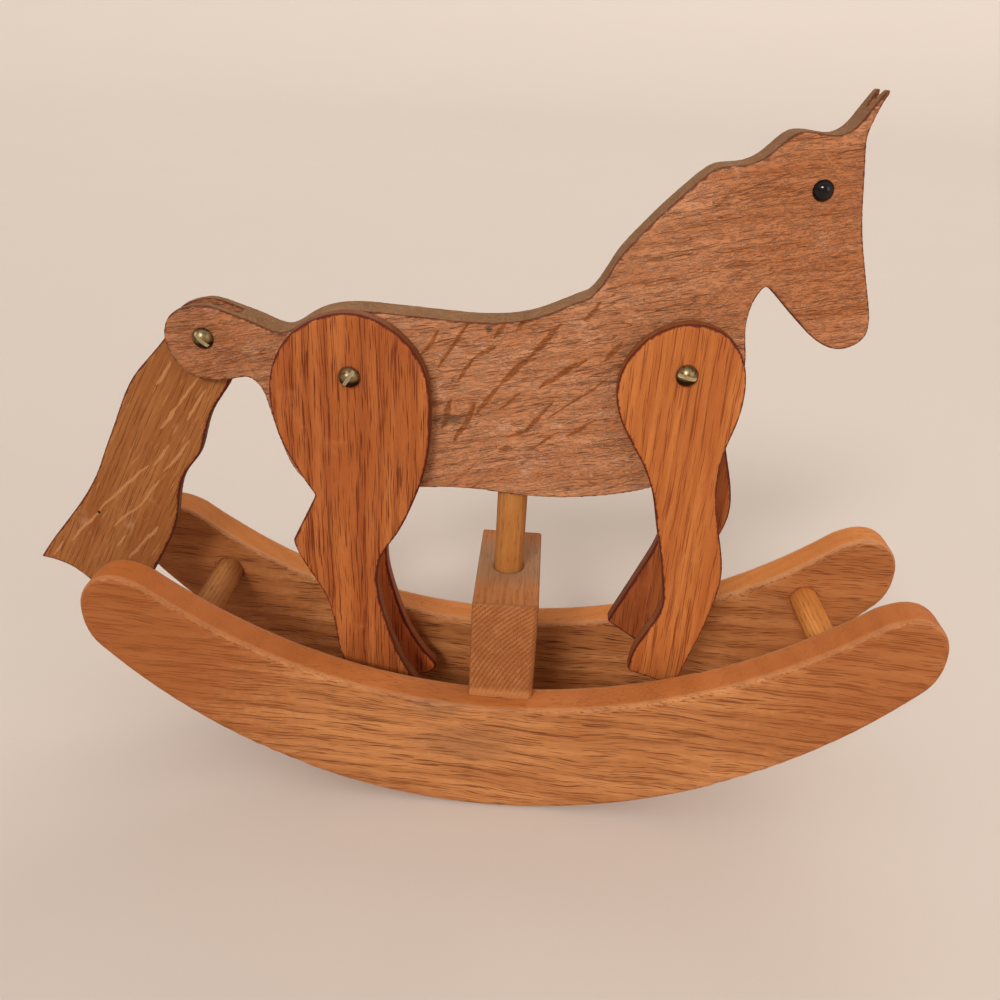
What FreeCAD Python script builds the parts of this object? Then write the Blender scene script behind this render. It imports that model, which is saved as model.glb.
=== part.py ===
"""Wooden rocking horse: a jointed oak horse on a post, carried by a pair of curved rockers.

Frame: millimetres, +X towards the horse's head, +Y to its left, +Z up. The origin is on the
floor, midway between the rockers, at the point where their curved bottoms touch it at rest.
Every board lies flat in an XZ plane, so each outline below is a list of (x, z) places.
"""
import FreeCAD, Part
import math
import os

from FreeCAD import Vector

# ---- driving dimensions -----------------------------------------------------------------------
OVERALL_WIDTH = 81.0        # over the outer faces of the two rockers
ROCKER_THICK = 17.0
ROCKER_HALF_LENGTH = 176.4
ROCKER_BOTTOM_R = 228.6     # floor curve, 9 in
ROCKER_TOP_R = 240.0
ROCKER_TOP_Z = 55.5         # top of the rocker at mid length
ROCKER_EDGE_R = 2.6         # rounding of the long edges
ROCKER_TILT = 1.04          # degrees, the balance position, head end a little high

BODY_THICK = 16.0
LEG_THICK = 7.0
TAIL_THICK = 5.0
DOWEL_R = 6.35              # half-inch dowel: the post and both stretchers

BLOCK_X = (-12.5, 15.0)     # block that carries the post, standing across both rockers
BLOCK_TOP_Z = 103.0
BLOCK_WIDTH = 64.0
BLOCK_EDGE_R = 1.0
BLOCK_CHAMFER = 1.8         # on the front edge of its right end
POST_X = 1.0
POST_SOCKET = 14.0          # depth of the post in the block and in the belly
BELLY_Z = 141.0             # underside of the body above the post
BLOCK_PIN_R = 3.0
BLOCK_PIN_LENGTH = 24.0
BLOCK_PIN_INSET = 5.0       # from the rocker's inner face to the pin's axis
BLOCK_SEAT = 0.4            # how far the block is let into the tops of the rockers

STRETCHER_SOCKET = 9.0      # blind depth of each stretcher end in its rocker
REAR_STRETCHER = (-133.3, 75.5)
FRONT_STRETCHER = (140.1, 81.0)

HIND_PIVOT = (-63.7, 191.0)
FORE_PIVOT = (63.8, 199.8)
TAIL_PIVOT = (-122.1, 200.4)
EYE_CENTRE = (102.5, 266.9)

SIDE_GAP = 0.35             # between a leg or the tail and the wood beside it
SCREW_R = 2.4               # No. 10 shank
SCREW_HEAD_R = 4.25
SCREW_HEAD_H = 3.2
SCREW_LENGTH = 15.0         # under the head
SCREW_TIP = 4.0
SCREW_POINT_R = 0.3
SLOT_WIDTH = 1.4
SLOT_DEPTH = 1.8
SCREW_FIT = 0.06            # radial running clearance of a leg or the tail on its screw

EYE_R = 4.0
EYE_STAND = 2.6             # how far the bead stands out of the board
EYE_STEM_R = 1.2
EYE_STEM = 5.0

TAIL_SLOT_X = -108.9        # floor of the saw slot that takes the tail
TAIL_SLOT_REACH = 60.0      # size of the cutting box, more than the stub it slots
TAIL_SLOT_Z = 170.0         # underside of that box, below the stub
EAR_SPLIT_X = 80.0          # the V between the ears, cut forward from here
EAR_SPLIT_LENGTH = 60.0
EAR_SPLIT_Z = 293.0         # root of the V
EAR_SPLIT_TOP_Z = 304.0
EAR_SPLIT_HALF = 4.6        # half width of the V at its top
BOARD_EDGE_R = 0.8          # softened edges of the legs and tail
LEG_CORNER_R = 1.5          # corners of the legs' outlines
FLAT = 1e-6                 # an edge's box is flat below this

HALF_WIDTH = OVERALL_WIDTH / 2
INNER_Y = HALF_WIDTH - ROCKER_THICK
BODY_Y = BODY_THICK / 2
LEG_Y = BODY_Y + SIDE_GAP

# ---- outlines, (x, z), each a closed run of stretches -------------------------------------------
# A stretch of two places is straight, a longer one is a smooth curve through its places.
BODY_OUTLINE = [
    # back of the ears, forelock and crest of the mane, down to the withers
    [(116.8, 298.8), (115.3, 296.4), (112.9, 292.6), (110.4, 288.6), (106.0, 285.2), (96.0, 285.4),
     (90.5, 284.8), (86.0, 281.3), (80.2, 276.0), (74.5, 273.8), (66.0, 272.4), (60.5, 268.4),
     (48.4, 256.2), (41.6, 248.4), (35.0, 239.8), (29.2, 229.2), (25.6, 224.6)],
    # back and croup
    [(25.6, 224.6), (20.0, 222.2), (7.4, 216.4), (-8.0, 213.2), (-32.0, 213.4), (-52.0, 214.4),
     (-71.0, 213.8), (-82.0, 209.4), (-91.0, 204.4), (-100.8, 207.2), (-111.8, 210.9),
     (-121.0, 213.2), (-128.5, 211.9), (-134.2, 208.8), (-137.2, 203.5), (-137.2, 196.6),
     (-133.6, 189.4), (-127.6, 184.4), (-120.0, 183.4), (-111.8, 184.3), (-105.4, 185.2),
     (-101.8, 182.6), (-98.6, 174.6), (-93.6, 156.4), (-88.6, 145.4), (-82.0, 139.6),
     (-70.0, 138.6), (-54.0, 140.0), (-36.0, 142.0), (-16.0, 142.9), (8.0, 141.2), (22.0, 141.6),
     (34.0, 143.0), (46.0, 145.3), (58.0, 149.0), (70.0, 156.4), (79.0, 169.0), (84.2, 184.0),
     (86.6, 198.0), (86.0, 207.0), (84.4, 216.0), (84.6, 223.0), (88.8, 233.0)],
    # jaw, muzzle and forehead
    [(88.8, 233.0), (97.2, 225.6), (106.8, 216.7), (114.2, 212.0), (119.8, 210.9), (124.8, 212.6),
     (128.5, 216.8), (128.6, 222.4), (126.1, 231.4), (122.6, 242.0), (119.6, 252.0), (117.4, 262.0),
     (114.9, 277.0), (114.0, 286.4), (114.9, 290.0), (116.2, 294.2), (118.2, 298.4)],
    # rounded tip of the ears
    [(118.2, 298.4), (117.8, 299.5), (116.8, 298.8)],
]

HIP_TOP = {-1: 215.6, 1: 211.0}     # the left hip is cut a little lower than the right one
HIND_LEG_OUTLINE = [
    # point of the hock, up the back of the thigh, over the hip and down the front to the shin
    [(-79.4, 138.8), (-84.3, 146.6), (-88.8, 155.0), (-92.6, 163.6), (-95.0, 174.0),
     (-95.4, 185.8), (-92.2, 197.2), (-86.0, 206.2), (-76.0, 212.8), (-64.0, HIP_TOP[-1]),
     (-52.0, 213.0), (-41.6, 205.4), (-34.6, 194.0), (-32.5, 180.0), (-32.7, 166.0), (-35.0, 151.0),
     (-40.0, 136.0), (-46.2, 122.6), (-52.8, 111.2), (-54.4, 102.6), (-54.0, 93.0),
     (-51.6, 81.6), (-47.6, 68.0), (-42.0, 55.0), (-36.6, 46.6), (-32.4, 41.8)],
    # hoof and heel
    [(-32.4, 41.8), (-31.2, 38.4), (-33.4, 35.2), (-41.0, 33.0)],
    [(-41.0, 33.0), (-57.0, 31.4)],
    # up the back of the shin to the hock
    [(-57.0, 31.4), (-63.6, 41.6), (-69.0, 52.0), (-72.4, 64.4), (-74.0, 77.0), (-77.0, 89.6),
     (-83.0, 101.4), (-87.4, 109.6), (-89.8, 117.0)],
    [(-89.8, 117.0), (-79.4, 138.8)],
]

FORE_LEG_OUTLINE = [
    # back of the leg, over the shoulder, down the front to the toe
    [(57.0, 64.8), (62.4, 83.0), (67.6, 98.4), (66.6, 107.0), (64.6, 118.0), (61.0, 133.0),
     (57.6, 148.0), (52.0, 161.6), (45.0, 173.0), (39.8, 184.0), (38.8, 196.0), (43.4, 207.6),
     (52.6, 216.0), (64.4, 219.2), (76.0, 216.0), (84.0, 206.6), (86.6, 194.0), (85.4, 180.6),
     (82.4, 167.6), (82.0, 157.0), (83.2, 146.4), (86.8, 131.0), (90.2, 113.6), (89.4, 102.0),
     (86.0, 85.0), (81.4, 68.0), (78.0, 55.4)],
    [(78.0, 55.4), (57.8, 61.8)],
    [(57.8, 61.8), (56.6, 63.0), (57.0, 64.8)],
]

# The left foreleg is cut with the knee further forward and the hoof drawn back.
BENT_LEG_OUTLINE = [
    [(48.6, 73.0), (54.6, 87.2), (60.6, 101.4), (65.6, 115.0), (66.8, 128.0), (62.6, 142.0),
     (56.4, 154.0), (49.0, 165.6), (42.6, 175.6), (39.4, 185.6), (38.8, 196.0), (43.4, 207.6),
     (52.6, 216.0), (64.4, 219.2), (76.0, 216.0), (84.0, 206.6), (86.6, 194.0), (86.2, 180.0),
     (87.4, 166.0), (90.8, 153.0), (94.0, 140.0), (94.4, 129.0), (91.8, 119.0), (87.0, 103.6),
     (80.0, 86.0), (73.8, 70.6), (68.9, 57.0)],
    [(68.9, 57.0), (49.4, 70.4)],
    [(49.4, 70.4), (48.2, 71.4), (48.6, 73.0)],
]

TAIL_ROUND_R = 11.4         # round top of the tail, centred on its screw
TAIL_SHOULDER = math.radians(140)   # where the round top gives way to the tail's back edge
TAIL_OUTLINE_BACK = [(-141.0, 196.4), (-147.8, 188.8), (-154.2, 181.6), (-160.4, 171.4),
                     (-165.2, 161.0), (-171.0, 148.8), (-177.2, 135.6), (-187.0, 120.6),
                     (-198.6, 106.2), (-209.2, 92.0)]
TAIL_OUTLINE_HEM = [(-209.2, 92.0), (-202.2, 90.6), (-195.0, 87.2), (-186.8, 80.0),
                    (-177.0, 74.8), (-167.4, 72.6)]
TAIL_OUTLINE_FRONT = [(-167.4, 72.6), (-158.0, 89.4), (-150.0, 103.6), (-145.2, 114.0),
                      (-142.2, 127.6), (-138.0, 139.0), (-131.6, 147.4), (-128.0, 156.6),
                      (-124.0, 167.4), (-116.0, 179.6), (-112.0, 190.6)]


def stretch(places, y, start_along=None, end_along=None):
    """Returns the edge of one stretch of an outline, in the plane at this y.

    Args:
        places: (x, z) pairs; two make a straight edge, more a smooth curve.
        y: height of the outline's plane along Y.
        start_along: optional (x, z) direction of the curve where it starts.
        end_along: optional (x, z) direction of the curve where it ends.
    """
    points = [Vector(x, y, z) for x, z in places]
    if len(points) == 2:
        return Part.LineSegment(*points).toShape()
    curve = Part.BSplineCurve()
    if start_along:
        curve.interpolate(Points=points, InitialTangent=Vector(start_along[0], 0, start_along[1]),
                          FinalTangent=Vector(end_along[0], 0, end_along[1]))
    else:
        curve.interpolate(Points=points)
    return curve.toShape()


def board(edges, thick):
    """Returns the solid board whose outline is these edges, thick along +Y."""
    return Part.Face(Part.Wire(Part.__sortEdges__(edges))).extrude(Vector(0, thick, 0))


def outline_board(outline, y, thick):
    """Returns the board of a list of stretches, from y to y + thick."""
    return board([stretch(places, y) for places in outline], thick)


def ease_corners(solid, radius):
    """Returns a board with the sharp corners of its outline rounded in plan."""
    return soften(solid, radius, lambda e: e.BoundBox.XLength < FLAT and e.BoundBox.ZLength < FLAT)


def rod(x, z, y_from, y_to, radius):
    """Returns a round rod along Y."""
    return Part.makeCylinder(radius, y_to - y_from, Vector(x, y_from, z), Vector(0, 1, 0))


def soften(solid, radius, picks):
    """Returns the solid with each picked edge rounded, or as it was where rounding fails."""
    edges = [e for e in solid.Edges if picks(e)]
    try:
        soft = solid.makeFillet(radius, edges)
        if soft.isValid() and soft.Volume > 0:
            return soft
    except Part.OCCError:
        pass
    print("left sharp:", len(edges), "edges")
    return solid


def on_face(edge):
    """Says whether an edge lies in one of the board's two flat faces."""
    return edge.BoundBox.YLength < FLAT


# ---- rockers --------------------------------------------------------------------------------------
def rocker(y):
    """Returns one rocker, from y to y + ROCKER_THICK, tilted to its balance position."""
    def floor_z(x):
        return ROCKER_BOTTOM_R - math.sqrt(ROCKER_BOTTOM_R ** 2 - x ** 2)

    def top_z(x):
        return ROCKER_TOP_Z + ROCKER_TOP_R - math.sqrt(ROCKER_TOP_R ** 2 - x ** 2)

    def arc(x, height):
        return Part.Arc(Vector(-x, y, height(x)), Vector(0, y, height(0)),
                        Vector(x, y, height(x))).toShape()

    toe, lip = 166.0, 139.0     # where the floor arc and the top arc give way to the scrolled end
    tangent_toe = (ROCKER_BOTTOM_R - floor_z(toe), toe)
    tangent_lip = (-(ROCKER_TOP_Z + ROCKER_TOP_R - top_z(lip)), -lip)
    end = ROCKER_HALF_LENGTH
    scroll = [(toe, floor_z(toe)), (end - 3.2, 79.8), (end, 92.4), (end - 2.2, 103.2),
              (end - 8.4, 109.4), (end - 17.6, 110.9), (end - 26.6, 107.6), (lip, top_z(lip))]
    front = stretch(scroll, y, tangent_toe, tangent_lip)
    back = front.mirror(Vector(0, 0, 0), Vector(1, 0, 0))
    solid = board([arc(toe, floor_z), front, arc(lip, top_z), back], ROCKER_THICK)
    solid = soften(solid, ROCKER_EDGE_R, on_face)
    solid.rotate(Vector(0, 0, ROCKER_BOTTOM_R), Vector(0, -1, 0), ROCKER_TILT)
    return solid


def side_rocker(side):
    """Returns the rocker of one side (-1 right, +1 left) with its sockets bored."""
    solid = rocker(-HALF_WIDTH if side < 0 else INNER_Y)
    for x, z in (REAR_STRETCHER, FRONT_STRETCHER):
        solid = solid.cut(stretcher(x, z))
    return solid.cut(block()).cut(block_pin(side))


def stretcher(x, z):
    """Returns a stretcher dowel, glued into a blind socket in each rocker."""
    reach = INNER_Y + STRETCHER_SOCKET
    return rod(x, z, -reach, reach, DOWEL_R)


# ---- block and post -------------------------------------------------------------------------------
def block():
    """Returns the post block, seated a little way down into the tops of both rockers."""
    x0, x1 = BLOCK_X
    seat = ROCKER_TOP_Z - BLOCK_SEAT
    solid = Part.makeBox(x1 - x0, BLOCK_WIDTH, BLOCK_TOP_Z - seat,
                         Vector(x0, -BLOCK_WIDTH / 2, seat))
    solid = solid.makeChamfer(BLOCK_CHAMFER, [
        e for e in solid.Edges if e.BoundBox.XMin > x1 - 1 and e.BoundBox.YMax < 1 - BLOCK_WIDTH / 2])
    return soften(solid, BLOCK_EDGE_R, lambda e: e.BoundBox.ZMin > seat + 1)


def block_pin(side):
    """Returns the hidden pin that holds the block on one rocker."""
    y = side * (INNER_Y + BLOCK_PIN_INSET)
    return Part.makeCylinder(BLOCK_PIN_R, BLOCK_PIN_LENGTH,
                             Vector(POST_X, y, ROCKER_TOP_Z - BLOCK_PIN_LENGTH / 2))


def post():
    """Returns the dowel that stands in the block and carries the body."""
    foot = BLOCK_TOP_Z - POST_SOCKET
    return Part.makeCylinder(DOWEL_R, BELLY_Z + POST_SOCKET - foot, Vector(POST_X, 0, foot))


def bored_block():
    """Returns the block with the post's socket and the pins' holes."""
    return block().cut(post()).cut(block_pin(-1)).cut(block_pin(1))


# ---- screws and eyes ------------------------------------------------------------------------------
def screw(x, z, face_y, side, slot_angle):
    """Returns a slotted round-head screw driven along Y.

    Args:
        x, z: its place on the board.
        face_y: distance from the middle plane to the face that its head bears on.
        side: -1 for a head on the right, +1 on the left.
        slot_angle: degrees of the slot from level, rising to the front.
    """
    sphere_r = (SCREW_HEAD_R ** 2 + SCREW_HEAD_H ** 2) / (2 * SCREW_HEAD_H)
    head = Part.makeSphere(sphere_r, Vector(0, 0, SCREW_HEAD_H - sphere_r))
    head = head.common(Part.makeCylinder(SCREW_HEAD_R, SCREW_HEAD_H))
    slot = Part.makeBox(4 * SCREW_HEAD_R, SLOT_WIDTH, SLOT_DEPTH,
                        Vector(-2 * SCREW_HEAD_R, -SLOT_WIDTH / 2, SCREW_HEAD_H - SLOT_DEPTH))
    slot.rotate(Vector(0, 0, 0), Vector(0, 0, 1), slot_angle)
    shank = Part.makeCylinder(SCREW_R, SCREW_LENGTH - SCREW_TIP, Vector(0, 0, 0), Vector(0, 0, -1))
    tip = Part.makeCone(SCREW_R, SCREW_POINT_R, SCREW_TIP, Vector(0, 0, SCREW_TIP - SCREW_LENGTH),
                        Vector(0, 0, -1))
    solid = head.cut(slot).fuse([shank, tip]).removeSplitter()
    solid.rotate(Vector(0, 0, 0), Vector(1, 0, 0), 90)          # head now faces -Y
    if side > 0:
        solid.rotate(Vector(0, 0, 0), Vector(0, 0, 1), 180)
    solid.translate(Vector(x, side * face_y, z))
    return solid


def eye(side):
    """Returns a round bead eye with the stem that is glued into the head."""
    x, z = EYE_CENTRE
    out = Vector(0, side, 0)
    centre = Vector(x, side * (BODY_Y + EYE_STAND - EYE_R), z)
    cap = Part.makeSphere(EYE_R, centre).common(
        Part.makeCylinder(2 * EYE_R, EYE_R, Vector(x, side * BODY_Y, z), out))
    stem = Part.makeCylinder(EYE_STEM_R, EYE_STEM, Vector(x, side * (BODY_Y - EYE_STEM), z), out)
    return cap.fuse(stem).removeSplitter()


# ---- horse ----------------------------------------------------------------------------------------
LEG_FACE = LEG_Y + LEG_THICK + SIDE_GAP
SCREWS = {
    "right_hind_screw": (HIND_PIVOT, LEG_FACE, -1, 56.0),
    "left_hind_screw": (HIND_PIVOT, LEG_FACE, 1, 20.0),
    "right_fore_screw": (FORE_PIVOT, LEG_FACE, -1, -12.0),
    "left_fore_screw": (FORE_PIVOT, LEG_FACE, 1, 70.0),
    "tail_screw": (TAIL_PIVOT, BODY_Y, -1, -47.0),
}


def make_screw(name):
    """Returns one of the five screws by its name."""
    (x, z), face_y, side, slot_angle = SCREWS[name]
    return screw(x, z, face_y, side, slot_angle)


def body():
    """Returns the body board with split ears, tail slot, post socket and screw holes."""
    solid = outline_board(BODY_OUTLINE, -BODY_Y, BODY_THICK)
    root = Vector(EAR_SPLIT_X, 0, EAR_SPLIT_Z)
    split = Part.makePolygon([root, Vector(EAR_SPLIT_X, -EAR_SPLIT_HALF, EAR_SPLIT_TOP_Z),
                              Vector(EAR_SPLIT_X, EAR_SPLIT_HALF, EAR_SPLIT_TOP_Z), root])
    solid = solid.cut(Part.Face(split).extrude(Vector(EAR_SPLIT_LENGTH, 0, 0)))
    slot_half = TAIL_THICK / 2 + SIDE_GAP
    slot = Part.makeBox(TAIL_SLOT_REACH, 2 * slot_half, TAIL_SLOT_REACH,
                        Vector(TAIL_SLOT_X - TAIL_SLOT_REACH, -slot_half, TAIL_SLOT_Z))
    solid = solid.cut(slot).cut(post())
    for name in SCREWS:
        solid = solid.cut(make_screw(name))
    for side in (-1, 1):
        solid = solid.cut(eye(side))
    return solid


def hind_leg_outline(side):
    """Returns the hind leg's outline with the hip of this side, lowered above the pivot."""
    pivot_z = HIND_PIVOT[1]
    ratio = (HIP_TOP[side] - pivot_z) / (HIP_TOP[-1] - pivot_z)
    return [[(x, pivot_z + (z - pivot_z) * ratio if z > pivot_z else z) for x, z in places]
            for places in HIND_LEG_OUTLINE]


def leg(outline, pivot, side):
    """Returns one leg board beside the body, bored for its screw."""
    y = -LEG_Y - LEG_THICK if side < 0 else LEG_Y
    solid = ease_corners(outline_board(outline, y, LEG_THICK), LEG_CORNER_R)
    solid = soften(solid, BOARD_EDGE_R, on_face)
    return solid.cut(rod(pivot[0], pivot[1], y - 1, y + LEG_THICK + 1, SCREW_R + SCREW_FIT))


def tail():
    """Returns the tail board, its round top bored for the screw and set in the body's slot."""
    y = -TAIL_THICK / 2
    x, z = TAIL_PIVOT
    top = Vector(x, y, z + TAIL_ROUND_R)
    back, front = TAIL_OUTLINE_BACK[0], TAIL_OUTLINE_FRONT[-1]
    shoulder = Vector(x + TAIL_ROUND_R * math.cos(TAIL_SHOULDER), y,
                      z + TAIL_ROUND_R * math.sin(TAIL_SHOULDER))
    edges = [
        stretch(TAIL_OUTLINE_BACK, y), stretch(TAIL_OUTLINE_HEM, y), stretch(TAIL_OUTLINE_FRONT, y),
        Part.LineSegment(Vector(back[0], y, back[1]), shoulder).toShape(),
        Part.Arc(shoulder, top, Vector(x + TAIL_ROUND_R, y, z)).toShape(),
        Part.LineSegment(Vector(x + TAIL_ROUND_R, y, z), Vector(front[0], y, front[1])).toShape(),
    ]
    solid = soften(board(edges, TAIL_THICK), BOARD_EDGE_R, on_face)
    return solid.cut(rod(x, z, y - 1, y + TAIL_THICK + 1, SCREW_R + SCREW_FIT))


def build():
    """Returns every node's solid by name."""
    nodes = {
        "horse_body": body(),
        "right_hind_leg": leg(hind_leg_outline(-1), HIND_PIVOT, -1),
        "left_hind_leg": leg(hind_leg_outline(1), HIND_PIVOT, 1),
        "right_fore_leg": leg(FORE_LEG_OUTLINE, FORE_PIVOT, -1),
        "left_fore_leg": leg(BENT_LEG_OUTLINE, FORE_PIVOT, 1),
        "tail": tail(),
        "center_post": post(),
        "center_block": bored_block(),
        "right_block_pin": block_pin(-1),
        "left_block_pin": block_pin(1),
        "right_rocker": side_rocker(-1),
        "left_rocker": side_rocker(1),
        "rear_stretcher": stretcher(*REAR_STRETCHER),
        "front_stretcher": stretcher(*FRONT_STRETCHER),
        "right_eye": eye(-1),
        "left_eye": eye(1),
    }
    for name in SCREWS:
        nodes[name] = make_screw(name)
    return nodes


os.makedirs("parts", exist_ok=True)
for node, shape in build().items():
    shape.exportStep("parts/%s.step" % node)
    box = shape.optimalBoundingBox(False)
    print("%-18s solids %d valid %s volume %.0f  x %.1f..%.1f  y %.1f..%.1f  z %.1f..%.1f" % (
        node, len(shape.Solids), shape.isValid(), shape.Volume, box.XMin, box.XMax,
        box.YMin, box.YMax, box.ZMin, box.ZMax))
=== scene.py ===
"""Looks of the small oak rocking horse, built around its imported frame.

Units are metres in the frame of the horse: +X towards its head, +Y to its left, +Z up, with the
origin on the floor under the rockers. Finishes are laid out in millimetres, which suit wood.
"""

import logging
import math
from dataclasses import dataclass, field, replace
from enum import Enum

import bmesh
import bpy
import numpy as np
from mathutils import Matrix, Vector, kdtree, noise


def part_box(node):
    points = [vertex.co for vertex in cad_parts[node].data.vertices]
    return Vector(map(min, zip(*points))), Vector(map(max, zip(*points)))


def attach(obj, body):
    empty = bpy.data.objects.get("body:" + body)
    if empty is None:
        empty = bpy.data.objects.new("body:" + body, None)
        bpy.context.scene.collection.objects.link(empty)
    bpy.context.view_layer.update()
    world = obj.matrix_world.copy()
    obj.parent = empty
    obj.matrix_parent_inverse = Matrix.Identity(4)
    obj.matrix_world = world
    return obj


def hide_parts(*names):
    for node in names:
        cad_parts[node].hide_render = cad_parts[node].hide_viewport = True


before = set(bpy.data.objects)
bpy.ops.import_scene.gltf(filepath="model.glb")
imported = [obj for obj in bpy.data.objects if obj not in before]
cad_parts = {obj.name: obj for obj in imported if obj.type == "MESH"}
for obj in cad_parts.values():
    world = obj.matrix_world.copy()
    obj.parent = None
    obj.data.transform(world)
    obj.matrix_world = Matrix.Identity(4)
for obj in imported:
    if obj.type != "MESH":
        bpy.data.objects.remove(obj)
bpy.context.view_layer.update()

MM = 0.001
LOG = logging.getLogger("rocking_horse")

Tree = bpy.types.NodeTree
Node = bpy.types.Node
Socket = bpy.types.NodeSocket
Material = bpy.types.Material
Mesh = bpy.types.Mesh
Piece = bpy.types.Object
Triple = tuple[float, float, float]
Colour = Triple
Value = Socket | float | Triple
Stroke = tuple[float, float, float, float, float]


# ---- node tools -------------------------------------------------------------
class Graph:
    """A node tree, with short calls for the nodes that the finishes use."""

    def __init__(self, tree: Tree) -> None:
        """Takes the tree that the calls add nodes to."""
        self.tree = tree

    def node(self, kind: str, **settings: object) -> Node:
        """Adds a node.

        Args:
            kind: Blender's name of the node type.
            **settings: properties set on the new node.

        Returns:
            The new node.
        """
        made = self.tree.nodes.new(kind)
        for name, value in settings.items():
            setattr(made, name, value)
        return made

    def feed(self, socket: Socket, value: Value) -> None:
        """Links a socket into an input, or sets the input to a constant.

        Args:
            socket: the input.
            value: the output to link, or the constant.
        """
        if isinstance(value, Socket):
            self.tree.links.new(value, socket)
        elif isinstance(socket, bpy.types.NodeSocketColor) and len(value) == 3:
            socket.default_value = (*value, 1.0)
        else:
            socket.default_value = value

    def fill(self, node: Node, **values: Value) -> None:
        """Feeds a node's inputs.

        Args:
            node: the node.
            **values: its inputs by name, with _ for a space.
        """
        for name, value in values.items():
            self.feed(node.inputs[name.replace("_", " ")], value)

    def math(self, operation: str, *values: Value, clamp: bool = False) -> Socket:
        """Adds a math node.

        Args:
            operation: Blender's name of the operation.
            *values: one to three inputs.
            clamp: keeps the result from 0 to 1.

        Returns:
            The node's output.
        """
        made = self.node("ShaderNodeMath", operation=operation, use_clamp=clamp)
        for socket, value in zip(made.inputs, values):
            self.feed(socket, value)
        return made.outputs[0]

    def plus(self, a: Value, b: Value, clamp: bool = False) -> Socket:
        """Returns a plus b."""
        return self.math("ADD", a, b, clamp=clamp)

    def minus(self, a: Value, b: Value) -> Socket:
        """Returns a minus b."""
        return self.math("SUBTRACT", a, b)

    def times(self, a: Value, b: Value) -> Socket:
        """Returns a times b."""
        return self.math("MULTIPLY", a, b)

    def over(self, a: Value, b: Value, clamp: bool = False) -> Socket:
        """Returns a divided by b."""
        return self.math("DIVIDE", a, b, clamp=clamp)

    def times_plus(self, value: Value, factor: float, base: float) -> Socket:
        """Returns a value times a factor, plus a base."""
        return self.math("MULTIPLY_ADD", value, factor, base)

    def vector(self, operation: str, a: Value, b: Value = (0.0, 0.0, 0.0)) -> Socket:
        """Adds a vector math node.

        Args:
            operation: Blender's name of the operation.
            a: the first vector.
            b: the second vector.

        Returns:
            Its number for a length or a dot product, or else its vector.
        """
        made = self.node("ShaderNodeVectorMath", operation=operation)
        self.feed(made.inputs[0], a)
        self.feed(made.inputs[1], b)
        return made.outputs[1 if operation in ("LENGTH", "DOT_PRODUCT") else 0]

    def stretch(self, vector: Socket, by: Value) -> Socket:
        """Returns a vector with each of its numbers multiplied by its own factor."""
        return self.vector("MULTIPLY", vector, by)

    def resize(self, vector: Socket, by: Value) -> Socket:
        """Multiplies a vector by one number.

        Args:
            vector: the vector.
            by: the number.

        Returns:
            The resized vector.
        """
        made = self.node("ShaderNodeVectorMath", operation="SCALE")
        self.fill(made, Vector=vector, Scale=by)
        return made.outputs[0]

    def turned(self, vector: Socket, degrees: Triple, shift: Triple = (0.0, 0.0, 0.0)) -> Socket:
        """Turns a vector about the axes and shifts it.

        Args:
            vector: the vector.
            degrees: the turn about each axis.
            shift: what is added after the turn.

        Returns:
            The turned vector.
        """
        made = self.node("ShaderNodeMapping", vector_type="POINT")
        angles = tuple(math.radians(angle) for angle in degrees)
        self.fill(made, Vector=vector, Rotation=angles, Location=shift)
        return made.outputs[0]

    def join(self, x: Value, y: Value, z: Value) -> Socket:
        """Joins three numbers into a vector.

        Args:
            x: along X.
            y: along Y.
            z: along Z.

        Returns:
            The vector.
        """
        made = self.node("ShaderNodeCombineXYZ")
        for socket, value in zip(made.inputs, (x, y, z)):
            self.feed(socket, value)
        return made.outputs[0]

    def split(self, vector: Socket) -> tuple[Socket, Socket, Socket]:
        """Splits a vector.

        Args:
            vector: the vector or colour.

        Returns:
            Its three numbers.
        """
        made = self.node("ShaderNodeSeparateXYZ")
        self.feed(made.inputs[0], vector)
        return tuple(made.outputs)

    def cloud(self, vector: Socket, scale: float = 1.0, detail: float = 2.0,
              rough: float = 0.5, swirl: float = 0.0) -> Socket:
        """Adds soft noise around 0.5.

        Args:
            vector: where the noise is read.
            scale: how often it repeats.
            detail: how many finer layers it has.
            rough: how strong the finer layers are.
            swirl: how far it is distorted.

        Returns:
            The noise.
        """
        made = self.node("ShaderNodeTexNoise")
        self.fill(made, Vector=vector, Scale=scale, Detail=detail, Roughness=rough,
                  Distortion=swirl)
        return made.outputs[0]

    def swing(self, vector: Socket, scale: float = 1.0, detail: float = 1.0,
              swirl: float = 0.0) -> Socket:
        """Returns soft noise around 0 over a vector."""
        return self.minus(self.cloud(vector, scale, detail, swirl=swirl), 0.5)

    def ramp(self, value: Socket, low: Value, high: Value, start: Value = 0.0,
             end: Value = 1.0) -> Socket:
        """Eases a value from start to end as it goes from low to high.

        Args:
            value: the value.
            low: where the easing starts.
            high: where it ends.
            start: the result at low.
            end: the result at high.

        Returns:
            The eased value.
        """
        made = self.node("ShaderNodeMapRange", interpolation_type="SMOOTHSTEP")
        for socket, number in zip(made.inputs, (value, low, high, start, end)):
            self.feed(socket, number)
        return made.outputs[0]

    def fade(self, value: Socket, low: Value, high: Value) -> Socket:
        """Returns a value eased from 1 to 0 as it goes from low to high."""
        return self.ramp(value, low, high, 1.0, 0.0)

    def mix(self, factor: Value, a: Value, b: Value) -> Socket:
        """Mixes two colours.

        Args:
            factor: the share of the second colour.
            a: the first colour.
            b: the second colour.

        Returns:
            The mixed colour.
        """
        made = self.node("ShaderNodeMix", data_type="RGBA", blend_type="MIX")
        self.feed(made.inputs[0], factor)
        self.feed(made.inputs[6], a)
        self.feed(made.inputs[7], b)
        return made.outputs[2]

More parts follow.
